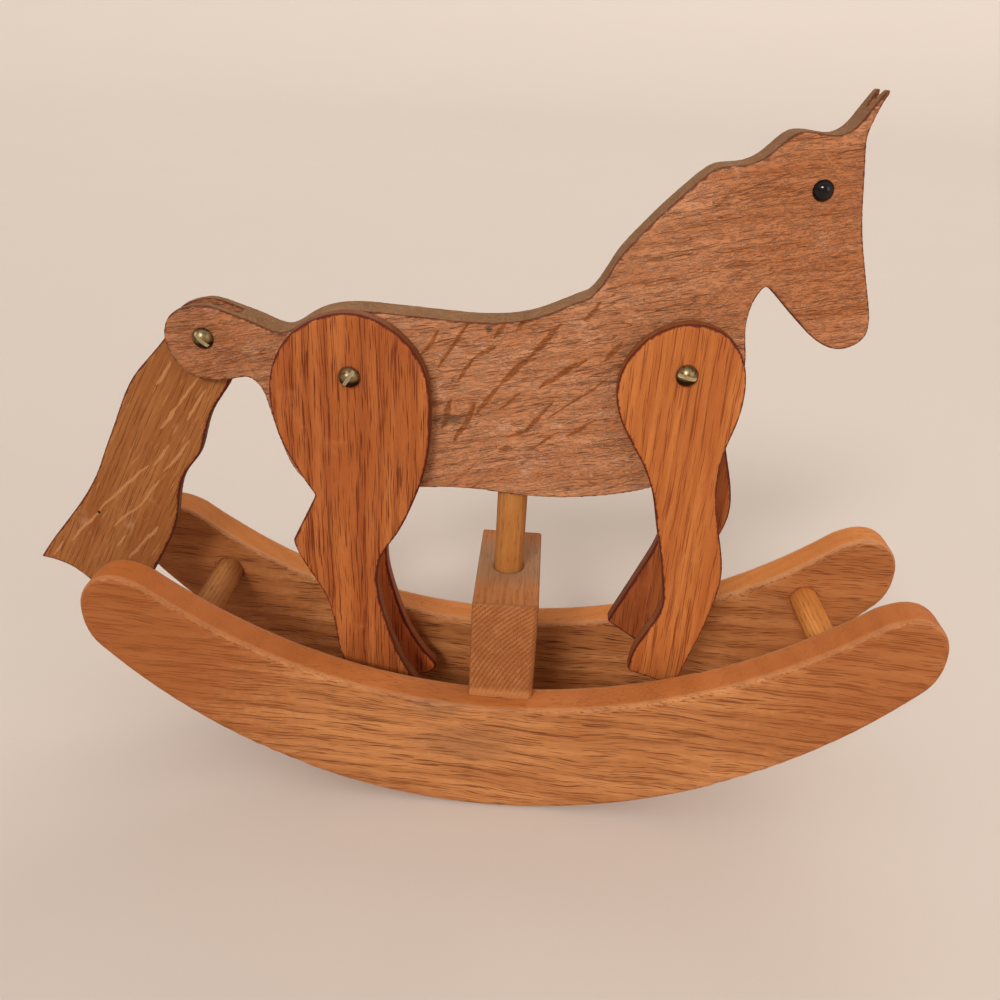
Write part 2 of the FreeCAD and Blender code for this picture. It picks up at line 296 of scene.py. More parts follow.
    def lay(self, colour: Socket, top: Value, mask: Socket, strength: float) -> Socket:
        """Returns a colour with another laid on it where a mask shows."""
        return self.mix(self.times(mask, strength), colour, top)

    def attribute(self, name: str) -> Socket:
        """Returns a number that the mesh carries."""
        return self.node("ShaderNodeAttribute", attribute_name=name).outputs["Fac"]

    def relief(self, height: Socket, depth: float) -> Socket:
        """Adds a bump node.

        Args:
            height: the height over the surface, from 0 to 1.
            depth: the full depth in metres.

        Returns:
            The normal.
        """
        made = self.node("ShaderNodeBump")
        self.fill(made, Strength=1.0, Distance=depth, Height=height)
        return made.outputs[0]

    def place(self, group: Tree, **values: Value) -> "bpy.types.bpy_prop_collection":
        """Places a node group.

        Args:
            group: the node group.
            **values: its inputs by name, with _ for a space.

        Returns:
            The outputs of the group's node.
        """
        made = self.node("ShaderNodeGroup", node_tree=group)
        self.fill(made, **values)
        return made.outputs


KINDS = {"v": "NodeSocketVector", "f": "NodeSocketFloat", "c": "NodeSocketColor"}


def new_group(name: str, takes: dict[str, str], gives: dict[str, str]
              ) -> tuple[Tree, Graph, dict[str, Socket], Node]:
    """Starts a shader node group.

    Args:
        name: the group's name.
        takes: its inputs, name to kind letter.
        gives: its outputs, name to kind letter.

    Returns:
        The group, its graph, its inputs by name inside it, and its output node.
    """
    group = bpy.data.node_groups.new(name, "ShaderNodeTree")
    for label, kind in takes.items():
        group.interface.new_socket(label, in_out="INPUT", socket_type=KINDS[kind])
    for label, kind in gives.items():
        group.interface.new_socket(label, in_out="OUTPUT", socket_type=KINDS[kind])
    graph = Graph(group)
    inner = graph.node("NodeGroupInput")
    take = {socket.name: socket for socket in inner.outputs if socket.name}
    return group, graph, take, graph.node("NodeGroupOutput")


def new_material(name: str) -> tuple[Material, Graph, Node, Socket]:
    """Starts a material.

    Args:
        name: the material's name.

    Returns:
        The material, its graph, its shader, and the place on the piece in millimetres.
    """
    made = bpy.data.materials.new(name)
    made.use_nodes = True
    graph = Graph(made.node_tree)
    place = graph.stretch(graph.node("ShaderNodeTexCoord").outputs["Object"], (1.0 / MM,) * 3)
    return made, graph, made.node_tree.nodes["Principled BSDF"], place


class Effects:
    """The effects that several finishes share, each one node group.

    A scale is how often an effect repeats per millimetre, along the grain first where it has three
    numbers. A pair is where an effect starts and ends on the value that drives it, or a factor and
    a base. RAGGED is the detail and roughness of uneven edges and of fibres.
    """
    RAGGED = (3.0, 0.6)
    DRIFT_SCALE = (0.011, 0.035, 0.035)
    RIPPLE_SCALE = (0.05, 0.12, 0.12)
    RIPPLE_SHARE = 0.22
    EARLY_RISE = (0.0, 0.16)
    EARLY_FALL = (0.38, 0.75)
    PORE_NOISE = (1.5, 0.55)
    PORE_GATE = 0.70
    PORE_BY_AMOUNT = 0.16
    PORE_BY_BAND = 0.055
    PORE_SOFTNESS = 0.09
    FIBRE_SCALE = (0.16, 2.6, 2.6)
    FIBRE_SPAN = (0.46, 0.72)
    FIBRE_SHARE = 0.45
    TONE_SCALE = (0.018, 0.16, 0.16)
    TONE_NOISE = (3.0, 0.55)
    TONE_SPAN = (0.36, 0.66)
    FLECK_SCALE = (0.09, 0.16, 0.16)
    FLECK_DEPTH = 3.0
    FLECK_SIZE = (0.34, 0.16)
    FLECK_RIM = (0.62, 1.0)
    STROKE_SCALE = 0.08
    STROKE_BEND = 3.0
    STROKE_LEAN = -0.8
    STROKE_RAG_SCALE = 0.5
    STROKE_RAG = (1.5, 0.2)
    STROKE_SWELL = (2.4, 0.4)
    STROKE_RIM = (0.55, 1.15)
    EDGE_SCALE = 0.22
    EDGE_RAG = (1.8, 0.1)
    EDGE_CORE = 0.5
    EDGE_FACE = (0.75, 0.97)
    EDGE_WALL = (0.45, 0.9)
    PATCH_NOISE = (4.0, 0.6)
    PATCH_GATE = 0.72
    PATCH_BY_SHARE = 0.4
    PATCH_SOFTNESS = 0.16
    MARK_SCALE = 0.35
    MARK_RAG = (0.9, 0.55)
    MARK_RIM = (0.35, 1.0)
    CREASE_SCALE = (0.045, 0.36, 0.36)
    CREASE_SWIRL = 0.25
    CREASE_WHERE = (0.06, 0.2, 0.2)
    CREASE_SPAN = (0.42, 0.62)
    FUZZ_SCALE = (0.4, 1.2, 1.2)
    FUZZ_NOISE = (4.0, 0.7)
    FUZZ_SPAN = (0.48, 0.64)

    def __init__(self) -> None:
        """Builds every group once."""
        self.grain = self._grain()
        self.fleck = self._fleck()
        self.stroke = self._stroke()
        self.edge = self._edge()
        self.patch = self._patch()
        self.mark = self._mark()
        self.tear = self._tear()

    def _grain(self) -> Tree:
        """Oak grain: growth bands, open pores as short dashes, and fine fibres.

        The vector is in millimetres with X along the grain.

        Returns:
            The group.
        """
        group, g, take, out = new_group(
            "oak_grain",
            {"Vector": "v", "Light": "c", "Mid": "c", "Dark": "c", "Pore": "c", "Pitch": "f",
             "Heart": "f", "Depth": "f", "Slope": "f", "Waver": "f", "Pore Length": "f",
             "Pore Width": "f", "Pore Amount": "f", "Band": "f"},
            {"Color": "c", "Pores": "f", "Fibre": "f"})
        vector = take["Vector"]
        along, deep, across = g.split(vector)
        drift = g.swing(g.stretch(vector, self.DRIFT_SCALE))
        ripple = g.swing(g.stretch(vector, self.RIPPLE_SCALE))
        sway = g.plus(drift, g.times(ripple, self.RIPPLE_SHARE))
        moved = g.plus(across, g.times(sway, take["Waver"]))
        side = g.plus(g.minus(moved, take["Heart"]), g.times(along, take["Slope"]))
        radius = g.vector("LENGTH", g.join(0.0, g.plus(deep, take["Depth"]), side))
        turn = g.math("FRACT", g.over(radius, take["Pitch"]))
        early = g.times(g.ramp(turn, *self.EARLY_RISE), g.fade(turn, *self.EARLY_FALL))
        dashes = g.cloud(g.join(g.over(along, take["Pore Length"]),
                                g.over(deep, take["Pore Width"]),
                                g.over(moved, take["Pore Width"])), 1.0, *self.PORE_NOISE)
        gate = g.minus(self.PORE_GATE, g.times(take["Pore Amount"], self.PORE_BY_AMOUNT))
        gate = g.minus(gate, g.times(early, self.PORE_BY_BAND))
        pores = g.ramp(dashes, gate, g.plus(gate, self.PORE_SOFTNESS))
        fibre = g.cloud(g.stretch(g.join(along, deep, moved), self.FIBRE_SCALE), 1.0, *self.RAGGED)
        broad = g.cloud(g.stretch(vector, self.TONE_SCALE), 1.0, *self.TONE_NOISE)
        tone = g.mix(g.ramp(broad, *self.TONE_SPAN), take["Mid"], take["Light"])
        tone = g.lay(tone, take["Dark"], g.ramp(fibre, *self.FIBRE_SPAN), self.FIBRE_SHARE)
        tone = g.mix(g.times(early, take["Band"]), tone, take["Dark"])
        tone = g.mix(pores, tone, take["Pore"])
        g.fill(out, Color=tone, Pores=pores, Fibre=fibre)
        return group

    def _fleck(self) -> Tree:
        """Ray flecks: thin lens-shaped marks scattered along the vector's X axis.

        Returns:
            The group.
        """
        group, g, take, out = new_group(
            "ray_fleck", {"Vector": "v", "Length": "f", "Width": "f", "Amount": "f", "Sway": "f"},
            {"Mask": "f"})
        along, deep, across = g.split(take["Vector"])
        bend = g.swing(g.stretch(take["Vector"], self.FLECK_SCALE))
        moved = g.plus(across, g.times(bend, take["Sway"]))
        cell = g.node("ShaderNodeTexVoronoi", voronoi_dimensions="3D", feature="F1")
        thick = g.times(take["Width"], self.FLECK_DEPTH)
        g.fill(cell, Scale=1.0, Vector=g.join(g.over(along, take["Length"]), g.over(deep, thick),
                                              g.over(moved, take["Width"])))
        chance, fortune, _ = g.split(cell.outputs["Color"])
        size = g.times_plus(fortune, *self.FLECK_SIZE)
        shape = g.fade(g.over(cell.outputs["Distance"], size), *self.FLECK_RIM)
        kept = g.math("LESS_THAN", chance, take["Amount"])
        g.fill(out, Mask=g.times(shape, kept))
        return group

    def _stroke(self) -> Tree:
        """One long ray fleck between two places, thinning towards its ends, with ragged sides.

        Returns:
            The group.
        """
        group, g, take, out = new_group(
            "ray_stroke", {"Vector": "v", "Start": "v", "End": "v", "Width": "f"}, {"Mask": "f"})
        vector = take["Vector"]
        run = g.vector("SUBTRACT", take["End"], take["Start"])
        bend = g.times(g.swing(vector, self.STROKE_SCALE, 2.0), self.STROKE_BEND)
        bent = g.vector("ADD", vector, g.join(bend, 0.0, g.times(bend, self.STROKE_LEAN)))
        away = g.vector("SUBTRACT", bent, take["Start"])
        part = g.over(g.vector("DOT_PRODUCT", away, run), g.vector("DOT_PRODUCT", run, run),
                      clamp=True)
        gap = g.vector("LENGTH", g.vector("SUBTRACT", away, g.resize(run, part)))
        rag = g.times_plus(g.cloud(vector, self.STROKE_RAG_SCALE, *self.RAGGED), *self.STROKE_RAG)
        swell = g.times_plus(g.times(part, g.minus(1.0, part)), *self.STROKE_SWELL)
        reach = g.times(take["Width"], g.times(rag, swell))
        g.fill(out, Mask=g.fade(g.over(gap, reach), *self.STROKE_RIM))
        return group

    def _edge(self) -> Tree:
        """Edge of a sawn board: how much its arris colour and its sawn wall show.

        The arris colour is burnt wear on most boards and a painted highlight on the rockers.

        Returns:
            The group.
        """
        group, g, take, out = new_group(
            "sawn_edge", {"Vector": "v", "Edge": "f", "Wall": "f", "Width": "f"},
            {"Arris": "f", "Wall": "f"})
        ragged = g.times_plus(g.cloud(take["Vector"], self.EDGE_SCALE, *self.RAGGED),
                              *self.EDGE_RAG)
        reach = g.times(take["Width"], ragged)
        near = g.fade(take["Edge"], g.times(reach, self.EDGE_CORE), reach)
        g.fill(out, Arris=g.times(near, g.fade(take["Wall"], *self.EDGE_FACE)))
        g.fill(out, Wall=g.ramp(take["Wall"], *self.EDGE_WALL))
        return group

    def _patch(self) -> Tree:
        """Broad soft patches, where oil or dust lies unevenly.

        Returns:
            The group.
        """
        group, g, take, out = new_group(
            "soft_patch", {"Vector": "v", "Size": "f", "Share": "f"}, {"Mask": "f"})
        spread = g.cloud(g.resize(take["Vector"], g.over(1.0, take["Size"])), 1.0,
                         *self.PATCH_NOISE)
        gate = g.minus(self.PATCH_GATE, g.times(take["Share"], self.PATCH_BY_SHARE))
        g.fill(out, Mask=g.ramp(spread, gate, g.plus(gate, self.PATCH_SOFTNESS)))
        return group

    def _mark(self) -> Tree:
        """A single mark around a place, with a soft uneven rim.

        Returns:
            The group.
        """
        group, g, take, out = new_group(
            "single_mark", {"Vector": "v", "Centre": "v", "Radius": "f", "Squash": "v"},
            {"Mask": "f"})
        away = g.stretch(g.vector("SUBTRACT", take["Vector"], take["Centre"]), take["Squash"])
        rim = g.times_plus(g.cloud(take["Vector"], self.MARK_SCALE, *self.RAGGED), *self.MARK_RAG)
        gap = g.over(g.vector("LENGTH", away), g.times(take["Radius"], rim))
        g.fill(out, Mask=g.fade(gap, *self.MARK_RIM))
        return group

    def _tear(self) -> Tree:
        """Torn fibres of a saw-rough face: thin broken creases, and short pale fuzz.

        The vector is in millimetres with X along the creases.

        Returns:
            The group.
        """
        group, g, take, out = new_group("torn_fibre", {"Vector": "v", "Width": "f"},
                                        {"Crease": "f", "Fuzz": "f"})
        vector = take["Vector"]
        line = g.math("ABSOLUTE", g.swing(g.stretch(vector, self.CREASE_SCALE), 1.0, 2.0,
                                          self.CREASE_SWIRL))
        where = g.ramp(g.cloud(g.stretch(vector, self.CREASE_WHERE)), *self.CREASE_SPAN)
        g.fill(out, Crease=g.times(g.fade(line, 0.0, take["Width"]), where))
        hair = g.cloud(g.stretch(vector, self.FUZZ_SCALE), 1.0, *self.FUZZ_NOISE)
        g.fill(out, Fuzz=g.ramp(hair, *self.FUZZ_SPAN))
        return group


# ---- finishes ---------------------------------------------------------------
class Lay(Enum):
    """Which way a piece's grain runs at an angle of 0: the turn about Z that brings it to X."""
    ALONG = 0.0
    THROUGH = -90.0


@dataclass(frozen=True)
class Flecks:
    """Ray flecks scattered on a face, in millimetres and degrees."""
    colour: Colour
    angle: float = 50.0
    length: float = 30.0
    width: float = 1.8
    amount: float = 0.1
    sway: float = 3.0
    strength: float = 0.7


@dataclass(frozen=True)
class Mark:
    """One mark on a face, in millimetres: a stain, knot or hole, a broad darker tone, or a patch
    of painted shade.
    """
    colour: Colour
    place: Triple
    radius: float
    strength: float = 0.8
    squash: Triple = (1.0, 1.0, 1.0)


@dataclass(frozen=True)
class OakFinish:
    """One board's oak, in millimetres and degrees.

    The growth rings stand a pitch apart around a heart line at a depth, and the pores are dashes
    over them. The haze is pale cloudy patches. The wall is the sawn edge of the board and the
    arris is its corner. A stroke is one long fleck: X and Z of its start and end, then its width.
    The tear is the share of torn fibre on a saw-rough face, as creases and pale fuzz.
    """
    name: str
    light: Colour
    mid: Colour
    dark: Colour
    pore: Colour
    angle: float = 0.0
    lay: Lay = Lay.ALONG
    pitch: float = 4.0
    heart: float = -60.0
    depth: float = 20.0
    slope: float = 0.02
    waver: float = 5.0
    pore_length: float = 6.0
    pore_width: float = 0.55
    pore_amount: float = 0.5
    band: float = 0.35
    shift: Triple = (0.0, 0.0, 0.0)
    wall: Colour = (0.30, 0.15, 0.06)
    wall_share: float = 0.6
    arris: Colour = (0.10, 0.025, 0.01)
    arris_width: float = 1.0
    arris_share: float = 0.8
    haze: Colour = (0.6, 0.35, 0.22)
    haze_size: float = 14.0
    haze_share: float = 0.3
    haze_strength: float = 0.35
    flecks: tuple[Flecks, ...] = ()
    marks: tuple[Mark, ...] = ()
    strokes: tuple[Stroke, ...] = ()
    stroke_colour: Colour = (0.36, 0.12, 0.03)
    stroke_strength: float = 0.75
    tear: float = 0.0
    tear_angle: float = 14.0
    tear_colour: Colour = (0.20, 0.07, 0.034)
    crease_width: float = 0.03
    fuzz_colour: Colour = (0.58, 0.31, 0.19)
    fuzz_share: float = 0.75
    roughness: float = 0.6
    pore_roughness: float = 0.2
    haze_roughness: float = 0.06
    specular: float = 0.14
    relief: float = 0.12

    def tinted(self, name: str, tint: Colour) -> "OakFinish":
        """Makes the same oak in another tone.

        Args:
            name: the new finish's name.
            tint: what its red, green and blue are multiplied by.

        Returns:
            The new finish.
        """
        tones = {key: tuple(a * b for a, b in zip(getattr(self, key), tint))
                 for key in ("light", "mid", "dark", "pore", "haze", "wall")}
        return replace(self, name=name, **tones)

    def material(self, effects: Effects) -> Material:
        """Builds the finish as a material.

        Args:
            effects: the shared node groups.

        Returns:
            The material.
        """
        made, g, shader, plain = new_material(self.name)
        vector = g.turned(plain, (0.0, self.angle, self.lay.value), self.shift)
        grain = g.place(
            effects.grain, Vector=vector, Light=self.light, Mid=self.mid, Dark=self.dark,
            Pore=self.pore, Pitch=self.pitch, Heart=self.heart, Depth=self.depth,
            Slope=self.slope, Waver=self.waver, Pore_Length=self.pore_length,
            Pore_Width=self.pore_width, Pore_Amount=self.pore_amount, Band=self.band)
        haze = g.place(effects.patch, Vector=vector, Size=self.haze_size,
                       Share=self.haze_share)["Mask"]
        colour = g.lay(grain["Color"], self.haze, haze, self.haze_strength)
        height = g.minus(grain["Fibre"], grain["Pores"])
        if self.tear:
            torn = g.place(effects.tear, Vector=g.turned(plain, (0.0, self.tear_angle, 0.0)),
                           Width=self.crease_width)
            colour = g.lay(colour, self.fuzz_colour, torn["Fuzz"], self.tear * self.fuzz_share)
            colour = g.lay(colour, self.tear_colour, torn["Crease"], self.tear)
            height = g.plus(height, g.minus(torn["Fuzz"], torn["Crease"]))
        colour = self._lay_flecks(g, effects, plain, colour)
        colour = self._lay_strokes(g, effects, plain, colour)
        for mark in self.marks:
            spot = g.place(effects.mark, Vector=plain, Centre=mark.place, Radius=mark.radius,
                           Squash=mark.squash)["Mask"]
            colour = g.lay(colour, mark.colour, spot, mark.strength)
        edge = g.place(effects.edge, Vector=plain, Edge=g.attribute("edge_mm"),
                       Wall=g.attribute("wall"), Width=self.arris_width)
        colour = g.lay(colour, self.wall, edge["Wall"], self.wall_share)
        colour = g.lay(colour, self.arris, edge["Arris"], self.arris_share)
        rough = g.plus(self.roughness, g.times(grain["Pores"], self.pore_roughness))
        rough = g.plus(rough, g.times(haze, self.haze_roughness), clamp=True)
        g.fill(shader, Base_Color=colour, Roughness=rough, Specular_IOR_Level=self.specular,
               Normal=g.relief(height, self.relief * MM))
        return made

    def _lay_flecks(self, g: Graph, effects: Effects, plain: Socket, colour: Socket) -> Socket:
        """Lays each kind of scattered fleck on the colour.

        Args:
            g: the material's graph.
            effects: the shared node groups.
            plain: the place on the piece in millimetres.
            colour: the colour so far.

        Returns:
            The new colour.
        """
        for fleck in self.flecks:
            mask = g.place(effects.fleck, Vector=g.turned(plain, (0.0, fleck.angle, 0.0)),
                           Length=fleck.length, Width=fleck.width, Amount=fleck.amount,
                           Sway=fleck.sway)["Mask"]
            colour = g.lay(colour, fleck.colour, mask, fleck.strength)
        return colour

    def _lay_strokes(self, g: Graph, effects: Effects, plain: Socket, colour: Socket) -> Socket:
        """Lays on the long placed flecks, which go right through the board.

        Args:
            g: the material's graph.
            effects: the shared node groups.
            plain: the place on the piece in millimetres.
            colour: the colour so far.

        Returns:
            The new colour.
        """
        if not self.strokes:
            return colour
        flat = g.stretch(plain, (1.0, 0.0, 1.0))
        found = None
        for x0, z0, x1, z1, width in self.strokes:
            mask = g.place(effects.stroke, Vector=flat, Start=(x0, 0.0, z0), End=(x1, 0.0, z1),
                           Width=width)["Mask"]
            found = mask if found is None else g.math("MAXIMUM", found, mask)
        return g.lay(colour, self.stroke_colour, found, self.stroke_strength)


@dataclass(frozen=True)
class BrassFinish:
    """Aged brass of the slotted screws, darker in patches where it tarnished.

    The faces that point down carry painted shade, and the slot carries a bright colour that is
    rubbing and painted highlight together.
    """
    name: str = "aged_brass"
    light: Colour = (0.26, 0.19, 0.10)
    dark: Colour = (0.085, 0.06, 0.03)
    # Painted shade: faces that point down are darkened towards this colour over this span of the
    # normal's Z.
    under: Colour = (0.035, 0.018, 0.01)
    under_span: tuple[float, float] = (0.05, -0.4)
    # Rubbing and painted highlight: the colour of the slot's walls and, in part, of its floor.
    rubbed_and_highlight: Colour = (0.95, 0.86, 0.62)
    tarnish_size: float = 1.6
    tarnish_share: float = 0.55
    scuff_scale: Triple = (1.5, 1.5, 9.0)
    scuff_span: tuple[float, float] = (0.3, 0.7)
    roughness: tuple[float, float] = (0.3, 0.45)
    relief: float = 0.02

    def material(self, effects: Effects) -> Material:
        """Builds the brass.

        Args:
            effects: the shared node groups.

        Returns:
            The material.
        """
        made, g, shader, plain = new_material(self.name)
        tarnish = g.place(effects.patch, Vector=plain, Size=self.tarnish_size,
                          Share=self.tarnish_share)["Mask"]
        _, _, rise = g.split(g.node("ShaderNodeNewGeometry").outputs["Normal"])
        colour = g.mix(tarnish, self.light, self.dark)
        # Painted shade on the faces that point down.
        colour = g.mix(g.ramp(rise, *self.under_span), colour, self.under)
        # Rubbing and painted highlight in the slot.
        colour = g.mix(g.attribute("slot"), colour, self.rubbed_and_highlight)
        scuff = g.cloud(g.stretch(plain, self.scuff_scale))
        g.fill(shader, Base_Color=colour, Metallic=1.0, Normal=g.relief(scuff, self.relief * MM),
               Roughness=g.ramp(scuff, *self.scuff_span, *self.roughness))
        return made


@dataclass(frozen=True)
class BeadFinish:
    """Glossy black bead of the eyes, with a little dust."""
    name: str = "black_bead"
    black: Colour = (0.003, 0.0015, 0.002)
    dust: Colour = (0.008, 0.004, 0.004)
    dust_size: float = 1.2
    dust_share: float = 0.3
    roughness: tuple[float, float] = (0.05, 0.12)
    specular: float = 0.32

    def material(self, effects: Effects) -> Material:
        """Builds the black gloss.

        Args:
            effects: the shared node groups.

        Returns:
            The material.
        """
        made, g, shader, plain = new_material(self.name)
        dust = g.place(effects.patch, Vector=plain, Size=self.dust_size,
                       Share=self.dust_share)["Mask"]
        g.fill(shader, Base_Color=g.mix(dust, self.black, self.dust),
               Roughness=g.ramp(dust, 0.0, 1.0, *self.roughness),
               Specular_IOR_Level=self.specular)
        return made


@dataclass(frozen=True)
class FloorFinish:
    """Plain pale floor of matt paint, very faintly uneven."""
    name: str = "pale_floor"
    colour: Colour = (0.645, 0.57, 0.52)
    paler: float = 1.02
    scale: float = 0.004
    roughness: float = 0.9
    specular: float = 0.1

    def material(self) -> Material:
        """Builds the paint.

        Returns:
            The material.
        """
        made, g, shader, plain = new_material(self.name)
        paler = tuple(tone * self.paler for tone in self.colour)
        g.fill(shader, Base_Color=g.mix(g.cloud(plain, self.scale), self.colour, paler),
               Roughness=self.roughness, Specular_IOR_Level=self.specular)
        return made


# ---- finishes of this horse -------------------------------------------------
BURNT = (0.105, 0.014, 0.007)
# Painted shade that darkens the ends of the near rocker.
PAINTED_END_SHADE = (0.31, 0.085, 0.02)

# Long flecks of the body and the tail: X and Z of the start, X and Z of the end, and the width.
BODY_STROKES = (
    (-15.5, 175.7, -6.2, 188.5, 1.2), (-6.2, 188.5, 4.0, 200.4, 1.4),
    (4.0, 200.4, 15.2, 214.4, 1.3), (-23.6, 164.4, -15.3, 180.4, 1.5),
    (-2.0, 166.8, 4.2, 169.8, 0.9), (4.2, 169.8, 14.5, 183.2, 1.1),
    (14.1, 176.5, 35.3, 193.6, 0.8), (9.4, 188.7, 26.2, 201.1, 1.4),
    (-36.8, 199.4, -31.1, 209.2, 1.2), (-30.5, 194.6, -19.8, 212.7, 1.0),
    (-22.6, 189.8, -16.7, 199.1, 0.9), (-16.7, 199.1, -8.8, 204.4, 1.2),
    (-28.6, 169.3, -24.8, 181.4, 1.6), (7.8, 163.1, 17.7, 170.7, 0.8),
    (21.0, 169.3, 32.2, 176.9, 0.9), (-9.3, 207.5, -5.1, 213.9, 1.0),
    (-1.1, 211.1, 3.5, 216.4, 0.9), (24.1, 216.5, 29.4, 223.6, 1.1),
    (33.0, 201.5, 39.1, 208.6, 1.4), (-5.7, 178.5, 1.7, 186.1, 0.7),
    (-5.0, 161.8, -1.0, 162.9, 1.2),
)

TAIL_STROKES = (
    (-193.0, 102.0, -178.0, 118.5, 0.8), (-178.0, 118.5, -154.0, 141.5, 0.9),
    (-173.0, 110.5, -158.5, 123.5, 0.7), (-158.5, 123.5, -149.5, 134.5, 0.8),
    (-151.5, 141.5, -143.5, 151.5, 0.7), (-147.0, 139.0, -134.5, 154.0, 0.8),
    (-168.5, 94.5, -160.0, 104.5, 0.7), (-160.0, 104.5, -153.5, 111.5, 1.0),
    (-173.0, 100.5, -168.0, 106.0, 0.7), (-203.5, 94.0, -197.5, 101.0, 0.7),
    (-146.0, 178.5, -138.5, 188.0, 0.9), (-146.0, 159.0, -138.0, 168.5, 1.0),
    (-138.0, 168.5, -127.5, 183.0, 0.7), (-134.5, 163.5, -125.5, 177.0, 0.7),
)

BODY_OAK = OakFinish(
    name="body_oak", light=(0.57, 0.255, 0.125), mid=(0.465, 0.18, 0.075),
    dark=(0.31, 0.105, 0.04), pore=(0.25, 0.085, 0.034), angle=11.0, pitch=5.0, heart=-150.0,
    waver=9.0, slope=0.05, pore_length=8.0, pore_width=0.45, pore_amount=0.4, band=0.2,
    wall=(0.27, 0.14, 0.06), wall_share=0.8, arris=BURNT, arris_width=0.95, arris_share=0.75,
    haze=(0.64, 0.36, 0.235), haze_size=11.0, haze_share=0.36, haze_strength=0.5,
    strokes=BODY_STROKES, stroke_colour=(0.28, 0.08, 0.018), stroke_strength=0.85, tear=0.72,
    roughness=0.78, relief=0.3,
    flecks=(Flecks(colour=(0.30, 0.10, 0.03), angle=47.0, length=24.0, width=2.2, amount=0.05,
                   strength=0.5),),
    marks=(Mark(colour=(0.34, 0.095, 0.024), place=(108.0, 0.0, 250.0), radius=58.0,
                strength=0.45),
           Mark(colour=(0.28, 0.09, 0.03), place=(-124.0, 0.0, 198.0), radius=34.0,
                strength=0.4),
           Mark(colour=(0.12, 0.07, 0.04), place=(-24.6, -8.0, 173.0), radius=6.0, strength=0.5,
                squash=(0.7, 1.0, 1.5)),
           Mark(colour=(0.10, 0.06, 0.04), place=(-11.4, -8.0, 210.9), radius=2.0, strength=0.8)))

HIND_OAK = OakFinish(
    name="hind_leg_oak", light=(0.45, 0.14, 0.036), mid=(0.365, 0.098, 0.023),
    dark=(0.26, 0.058, 0.014), pore=(0.16, 0.03, 0.009), angle=90.0, pitch=6.5, heart=70.0,
    waver=4.0, pore_length=16.0, pore_width=0.36, pore_amount=0.7, band=0.42,
    wall=(0.20, 0.065, 0.022), wall_share=0.85, arris=BURNT, arris_width=1.25, arris_share=0.95,
    haze=(0.54, 0.19, 0.06), haze_size=20.0, relief=0.14)

FORE_OAK = OakFinish(
    name="fore_leg_oak", light=(0.51, 0.17, 0.043), mid=(0.42, 0.122, 0.029),
    dark=(0.33, 0.082, 0.019), pore=(0.25, 0.055, 0.014), angle=89.0, pitch=4.5, heart=40.0,
    waver=4.0, pore_length=20.0, pore_width=0.36, pore_amount=0.6, band=0.3,
    shift=(40.0, 0.0, 15.0), wall=(0.20, 0.065, 0.022), wall_share=0.8, arris=BURNT,
    arris_width=1.15, arris_share=0.95, haze=(0.58, 0.22, 0.07), haze_size=20.0, relief=0.1)

TAIL_OAK = OakFinish(
    name="tail_oak", light=(0.35, 0.135, 0.04), mid=(0.285, 0.096, 0.025),
    dark=(0.22, 0.067, 0.016), pore=(0.17, 0.05, 0.014), angle=63.0, pitch=2.2, heart=80.0,
    waver=3.0, pore_length=16.0, pore_width=0.32, pore_amount=0.5, band=0.25,
    shift=(90.0, 0.0, 60.0), wall=(0.14, 0.06, 0.025), wall_share=0.85, arris=BURNT,
    arris_width=1.2, arris_share=0.95, relief=0.08,
    strokes=TAIL_STROKES, stroke_colour=(0.50, 0.235, 0.095), stroke_strength=0.68,
    flecks=(Flecks(colour=(0.46, 0.21, 0.085), angle=54.0, length=11.0, width=1.0, amount=0.16,
                   sway=2.0, strength=0.6),),
    marks=(Mark(colour=(0.01, 0.005, 0.004), place=(-178.8, -2.5, 117.1), radius=1.0,
                strength=1.0),))

NEAR_ROCKER_OAK = OakFinish(
    name="right_rocker_oak", light=(0.55, 0.235, 0.085), mid=(0.43, 0.165, 0.055),
    dark=(0.31, 0.10, 0.028), pore=(0.20, 0.06, 0.018), angle=-3.0, pitch=7.0, heart=-30.0,
    depth=34.0, slope=0.03, waver=12.0, pore_length=14.0, pore_width=0.42, pore_amount=0.66,
    # The pale arris colour is a painted highlight along the rocker's rounded top arris.
    band=0.3, wall=(0.50, 0.148, 0.033), wall_share=0.75, arris=(0.62, 0.30, 0.14),
    arris_width=1.3, arris_share=0.3, haze=(0.60, 0.26, 0.11), haze_size=40.0, relief=0.12,
    # Painted shade darkening both ends of the rocker.
    marks=(Mark(colour=PAINTED_END_SHADE, place=(-165.0, -40.0, 85.0), radius=100.0, strength=0.75),
           Mark(colour=PAINTED_END_SHADE, place=(170.0, -40.0, 85.0), radius=90.0, strength=0.6),
           Mark(colour=(0.22, 0.10, 0.05), place=(-13.0, -40.5, 36.0), radius=17.0, strength=0.35,
                squash=(0.55, 1.0, 1.3)),
           # Painted shadow of the block on the near rocker's top, just left of the block.
           Mark(colour=(0.16, 0.08, 0.05), place=(-26.0, -36.0, 57.0), radius=12.0, strength=0.4,
                squash=(0.7, 1.0, 1.0))))

